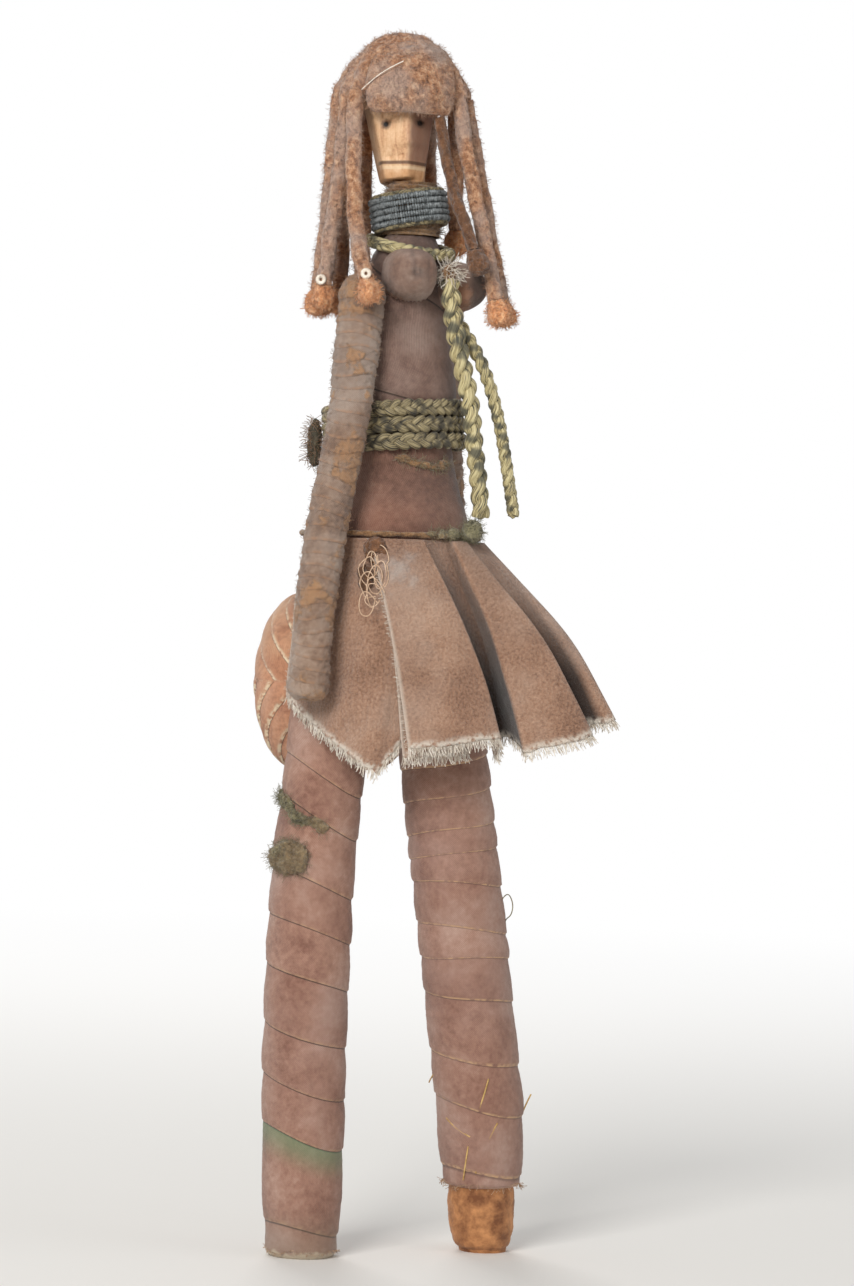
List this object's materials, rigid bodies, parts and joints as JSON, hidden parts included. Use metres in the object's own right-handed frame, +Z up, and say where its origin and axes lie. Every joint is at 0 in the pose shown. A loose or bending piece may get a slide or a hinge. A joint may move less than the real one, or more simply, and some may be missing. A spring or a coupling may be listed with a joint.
{
  "type": "fertility doll",
  "caption": "Free-standing wrapped doll with a carved wooden head, corded hair, cloth-wound trunk, swinging arms, splayed legs and a gathered skirt.",
  "frame": {"origin": "on the standing surface, under the middle of the doll's outline seen from above", "axes": "+Z up; the doll faces -Y and its right side is -X"},
  "size_m": [0.076, 0.0736, 0.2998],
  "materials": {
    "hair": "felted rust-brown fibre, dusty",
    "hair_tuft": "loose orange fibre",
    "white_bead": "small off-white bead",
    "face_wood": "light carved wood, worn",
    "core_wood": "bare stick",
    "core_rag": "tightly rolled rag, worn",
    "trunk_cloth": "greased twill, dark",
    "arm_cloth": "wound strip, dusty grey-brown",
    "leg_cloth": "wound twill strip, greased sheen",
    "pad_cloth": "crossed cloth strips, worn through",
    "skirt_cloth": "plain cotton, frayed hem",
    "olive_plait": "dark olive grass plait",
    "straw_plait": "straw and blue-grey grass plait",
    "collar_bead": "tiny dark blue-grey beads",
    "neck_fibre": "brown fibre winding",
    "green_yarn": "green-brown woolly yarn"
  },
  "bodies": {
    "doll": {"belt": "olive_plait", "belt_knot": "olive_plait", "braid_far": "straw_plait", "braid_near": "straw_plait", "breast_left": "trunk_cloth", "breast_right": "trunk_cloth", "buttock_left": "pad_cloth", "buttock_right": "pad_cloth", "chest_wrap": "trunk_cloth", "collar_band": "straw_plait", "collar_beads": "collar_bead", "crown_pad": "hair", "fringe_pad": "hair", "head": "face_wood", "hip_wrap": "trunk_cloth", "left_leg_core": "core_rag", "left_leg_wrap": "leg_cloth", "lock_01": "hair", "lock_02": "hair", "lock_03": "hair", "lock_04": "hair", "lock_05": "hair", "lock_06": "hair", "lock_07": "hair", "lock_08": "hair", "lock_09": "hair", "lock_10": "hair", "lock_11": "hair", "lock_12": "hair", "lock_beads": "white_bead", "neck_cord": "straw_plait", "neck_knot": "straw_plait", "neck_wrap": "neck_fibre", "right_leg_core": "core_rag", "right_leg_wrap": "leg_cloth", "shoulder_cord": "green_yarn", "skirt_cord": "green_yarn", "skirt_front": "skirt_cloth", "skirt_knot": "green_yarn", "skirt_side": "skirt_cloth", "thigh_yarn": "green_yarn", "trunk_core": "core_wood", "tuft_01": "hair_tuft", "tuft_02": "hair_tuft", "tuft_03": "hair_tuft", "tuft_04": "hair_tuft", "tuft_05": "hair_tuft", "tuft_06": "hair_tuft", "tuft_07": "hair_tuft", "tuft_08": "hair_tuft", "tuft_09": "hair_tuft", "tuft_10": "hair_tuft", "tuft_11": "hair_tuft", "tuft_12": "hair_tuft"},
    "right_arm": {"right_arm_core": "core_wood", "right_arm_wrap": "arm_cloth"},
    "left_arm": {"left_arm_core": "core_wood", "left_arm_wrap": "arm_cloth"}
  },
  "joints": [
    {"name": "right_shoulder", "type": "hinge", "parent": "doll", "child": "right_arm", "pos_m": [-0.0177, 0.0029, 0.234], "axis": [-0.9732, -0.2299, 0], "range_deg": [-12, 30]},
    {"name": "left_shoulder", "type": "hinge", "parent": "doll", "child": "left_arm", "pos_m": [0.0149, 0.0106, 0.234], "axis": [-0.9732, -0.2299, 0], "range_deg": [-12, 30]}
  ]
}
